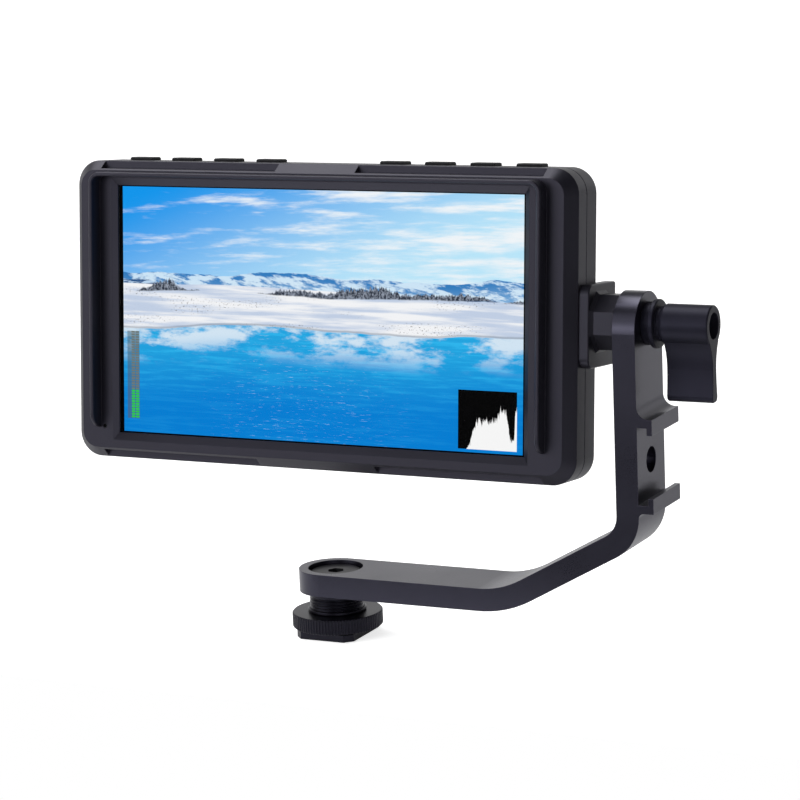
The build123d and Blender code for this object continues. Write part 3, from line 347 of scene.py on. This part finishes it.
def open_water(made, colour, u, v):
    """Still water: deep azure below, and broken pale reflections under the shore."""
    shore = made.noise(2.1, 6.0, 0.45, made.joined(u, 12.0, 0.0)) * 0.11 + 0.385
    deep = (shore - v).smooth(0.0, 0.34)
    water = made.mix(deep, (0.015, 0.38, 0.76), (0.0, 0.21, 0.66))
    ripple = made.noise(9.0, 9.0, 0.68, made.joined(u * 0.7, v * 6.0, 1.0)).smooth(0.46, 0.62)
    water = made.mix(ripple * (1.0 - deep * 0.85) * 0.8, water, (0.03, 0.50, 0.90))
    sunk = made.noise(7.0, 8.0, 0.62, made.joined(u * 1.1, v * 1.6, 6.0)).smooth(0.44, 0.58)
    water = made.mix(sunk * (shore - v).smooth(0.16, 0.03), water, (0.66, 0.80, 0.92))
    glint = made.noise(70.0, 5.0, 0.7, made.joined(u * 0.45, v * 4.5, 2.0)).smooth(0.60, 0.68)
    water = made.mix(glint * (u.smooth(0.15, 0.4) * u.smooth(0.8, 0.5)) * 0.7, water, (0.60, 0.84, 1.0))
    colour = made.mix((shore - v).smooth(0.0, 0.004), colour, water)
    wet = (shore - v + 0.010).smooth(0.0, 0.008) * (v - shore + 0.004).smooth(0.0, 0.005)
    return made.mix(wet * 0.55, colour, (0.20, 0.25, 0.31))


def level_meter(made, colour, u, v):
    """Two columns of small bars at the lower left, the lower part lit."""
    top, low, lit_top = 0.412, 0.054, 0.174
    across = (u - 0.0095) / 0.032
    up = (v - low) / (top - low)
    box = across.between(0.0, 1.0) * up.between(0.0, 1.0)
    colour = made.mix(box * 0.6, colour, (0.07, 0.11, 0.13))
    column = across.between(0.34, 0.62).either(across.between(0.68, 0.96))
    bars = (up * 34.0).fraction().above(0.32)
    lit = made.mix(v.below(lit_top), (0.16, 0.19, 0.18), (0.03, 0.62, 0.05))
    return made.mix(box * column * bars, colour, lit)


def histogram(made, colour, u, v):
    """A white brightness graph on a black box at the lower right."""
    left, right, low, top = 0.846, 0.986, 0.012, 0.242
    x = (u - left) / (right - left)
    y = (v - low) / (top - low)
    box = x.between(0.0, 1.0) * y.between(0.0, 1.0)
    spikes = made.noise(26.0, 4.0, 0.8, made.joined(x, 0.0, 21.0))
    body = x.smooth(0.16, 0.34) * 0.42 + x.smooth(0.62, 0.74) * 0.2 - x.smooth(0.80, 0.9) * 0.5
    graph = body + (spikes - 0.42) * 0.75 * x.smooth(0.12, 0.24) + x.smooth(0.955, 0.975) * 0.5
    filled = (graph - y).above(0.0) * x.above(0.14)
    return made.mix(box, colour, made.mix(filled, (0.0, 0.0, 0.0), (0.95, 0.95, 0.95)))


# ---- which node has which finish -----------------------------------------------------------
def dress():
    """Gives every node its finish."""
    arm_black = anodised("arm_black", (0.0018, 0.0017, 0.0028), 0.30, 1.72, (0.74, 0.72, 1.0))
    bracket_black = anodised("bracket_black", (0.0096, 0.0093, 0.0128), 0.38, 1.42, (0.80, 0.78, 1.0))
    casing_black = anodised("casing_black", (0.0058, 0.0056, 0.0086), 0.43, 1.49, (0.80, 0.77, 1.0),
                            grain=0.35, edge=0.00015)
    knob_black = anodised("knob_black", (0.0085, 0.0083, 0.0130), 0.42, 1.30, (0.70, 0.69, 1.0),
                          grain=0.6, edge=0.0003)
    nut_black = anodised("nut_black", (0.0008, 0.0007, 0.0014), 0.33, 1.43, (0.75, 0.73, 1.0), grain=0.5)
    key_black = moulded("key_black", (0.0030, 0.0029, 0.0045), 0.48, 0.5, 0.2)
    plastic_black = moulded("plastic_black", (0.0068, 0.0066, 0.0092), 0.55, 0.8)
    oxide = turned_metal("black_oxide", (0.030, 0.030, 0.033), 0.4, 0.8)
    steel = turned_metal("plain_steel", (0.56, 0.56, 0.57), 0.32)
    tin = turned_metal("tin_plate", (0.66, 0.66, 0.66), 0.28)
    bare = turned_metal("bare_aluminium", (0.40, 0.40, 0.41), 0.5)
    chip = plain_stuff("moulded_resin", (0.02, 0.02, 0.02), 0.55)
    green = circuit_green()
    given = {
        arm_black: ["tilt_arm"],
        bracket_black: ["arm_bracket"],
        casing_black: ["front_bezel", "rear_cover"],
        knob_black: ["clamp_collar", "clamp_knob"],
        nut_black: ["shoe_foot", "shoe_nut", "lock_ring"],
        key_black: [f"key_{n}" for n in range(1, 9)] + ["battery_latch"],
        plastic_black: ["battery_plate", "battery_terminals", "phone_jack", "dc_in_jack", "dc_out_jack",
                        "friction_washer"],
        oxide: ["swivel_screw", "swivel_washer", "case_screws", "plate_screws"],
        steel: ["clamp_stud", "bracket_screws", "bracket_backing", "board_screws", "latch_spring"],
        tin: ["lcd_tray", "usb_port", "hdmi_in_socket", "hdmi_out_socket"],
        bare: ["heat_spreader"],
        chip: ["board_chips", "tact_switches"],
        green: ["main_board", "key_board"],
        plain_stuff("foam", (0.02, 0.02, 0.02), 0.9): ["glass_gasket"],
        plain_stuff("light_guide", (0.85, 0.86, 0.88), 0.5, 0.02): ["backlight_unit"],
        plain_stuff("polyimide", (0.45, 0.22, 0.05), 0.35): ["lcd_cable", "key_cable"],
        plain_stuff("silicone", (0.33, 0.36, 0.40), 0.7): ["thermal_pad"],
        plain_stuff("smoked_light_pipe", (0.001, 0.001, 0.0012), 0.45, specular_ior_level=0.05):
            ["status_light_pipe"],
        cover_glass(): ["screen_glass"],
        live_picture(): ["lcd_panel"],
    }
    for material, names in given.items():
        for name in names:
            mesh = nodes[name].data
            mesh.materials.clear()
            mesh.materials.append(material)


def spring_gives():
    """Gives the latch spring a mesh of its own."""
    spring = nodes["latch_spring"]
    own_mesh(spring)


# ---- light, table and camera --------------------------------------------------------------
def studio_world():
    """A white sweep behind, a low and a high soft panel at the front left, the round lights, and a dim room
    elsewhere. Seen directly it is white all round."""
    world = bpy.data.worlds.new("studio")
    bpy.context.scene.world = world
    world.use_nodes = True
    room = Shading(world.node_tree, "Generated")
    x, y, z = room.parts(room.coordinates)

    def patch(turn, height, edge, full):
        """One round light: 1 inside full and 0 outside edge."""
        turn, height, edge, full = (math.radians(angle) for angle in (turn, height, edge, full))
        aim = (math.sin(turn) * math.cos(height), -math.cos(turn) * math.cos(height), math.sin(height))
        return (x * aim[0] + y * aim[1] + z * aim[2]).smooth(math.cos(edge), math.cos(full))

    by_height = z.smooth(0.55, 0.15) * 1.03 + z.smooth(0.25, 0.55) * 0.1
    sweep = y.smooth(-0.05, 0.35) * z.above(-0.02) * by_height * x.smooth(0.60, 0.15).scaled(0.25, 1.0)
    front_left = x.smooth(-0.92, -0.74) * x.smooth(-0.08, -0.24) * y.below(0.0)
    low_panel = front_left * z.smooth(-0.12, 0.02) * z.smooth(0.38, 0.12)
    high_panel = front_left * z.smooth(0.12, 0.38) * z.smooth(0.85, 0.62)
    level = room_level + sweep + low_panel * 3.0 + high_panel * 0.89
    for turn, height, edge, full, power in round_lights.values():
        level = level + patch(turn, height, edge, full) * power
    white = room.ray("Camera", "Transmission")
    grey = room.joined(level, level, level)
    room.feed(world.node_tree.nodes["Background"].inputs["Color"], room.mix(white, grey, (1.0, 1.0, 1.0)))


def table_top():
    """White sheet on a grey table: it takes a soft shadow and is otherwise lost in the white backdrop."""
    made = Finish("table_white", roughness=1.0, specular_ior_level=0.0)
    x, y, _ = made.parts(made.coordinates)
    out = (x * x + y * y).root()
    # Painted reflection: the table gives off a little extra light that shows only in reflections, more of it
    # within about 0.1 to 0.17 m of the middle, which brightens what the black finishes reflect
    painted_gloss_glow = out.smooth(0.17, 0.10).scaled(0.055, 0.12)
    shine = made.ray("Camera", "Transmission") * 0.74 + made.ray("Glossy") * painted_gloss_glow
    made.set(base_color=made.mix(out.smooth(0.11, 0.20), (0.80, 0.80, 0.80), (0.62, 0.62, 0.62)),
             emission_color=made.joined(shine, shine, shine), emission_strength=1.0)
    bm = bmesh.new()
    bmesh.ops.create_grid(bm, x_segments=1, y_segments=1, size=table_half)
    bmesh.ops.translate(bm, verts=bm.verts, vec=(0.0, table_half - table_front, -table_drop))
    mesh = bpy.data.meshes.new("table_top")
    bm.to_mesh(mesh)
    bm.free()
    mesh.materials.append(made.material)
    table = bpy.data.objects.new("table_top", mesh)
    bpy.context.scene.collection.objects.link(table)


def softbox(name, place, power):
    """A soft lamp that fills in without showing in the gloss of the black finishes."""
    light = bpy.data.lights.new(name, "AREA")
    light.shape = "RECTANGLE"
    light.size, light.size_y = lamp_size
    light.energy = power
    lamp = bpy.data.objects.new(name, light)
    lamp.location = place
    lamp.visible_glossy = False
    lamp.rotation_mode = "QUATERNION"
    lamp.rotation_quaternion = (Vector(aim_point) - Vector(place)).to_track_quat("-Z", "Y")
    bpy.context.scene.collection.objects.link(lamp)


def camera():
    """A long lens from the front right and a little above, slightly rolled."""
    angles = (camera_azimuth, camera_elevation, camera_roll)
    azimuth, elevation, roll = (math.radians(angle) for angle in angles)
    back = Vector((math.sin(azimuth) * math.cos(elevation), -math.cos(azimuth) * math.cos(elevation),
                   math.sin(elevation)))
    right = Vector((0, 0, 1)).cross(back).normalized()
    up = back.cross(right)
    side = math.cos(roll) * right + math.sin(roll) * up
    top = math.cos(roll) * up - math.sin(roll) * right
    data = bpy.data.cameras.new("camera")
    data.sensor_width = 36.0
    data.lens = camera_lens
    data.clip_start, data.clip_end = 0.01, 20.0
    made = bpy.data.objects.new("camera", data)
    made.matrix_world = Matrix((side, top, back)).transposed().to_4x4()
    made.location = camera_place
    bpy.context.scene.collection.objects.link(made)
    bpy.context.scene.camera = made


def studio():
    """Plain soft light, a pale floor and the camera."""
    bpy.context.scene.view_settings.view_transform = "Standard"
    studio_world()
    table_top()
    softbox("overhead", (0.05, 0.25, 1.1), 4.2)
    softbox("front_fill", (-0.55, -1.1, 0.55), 12.5)
    camera()


dress()
spring_gives()
studio()
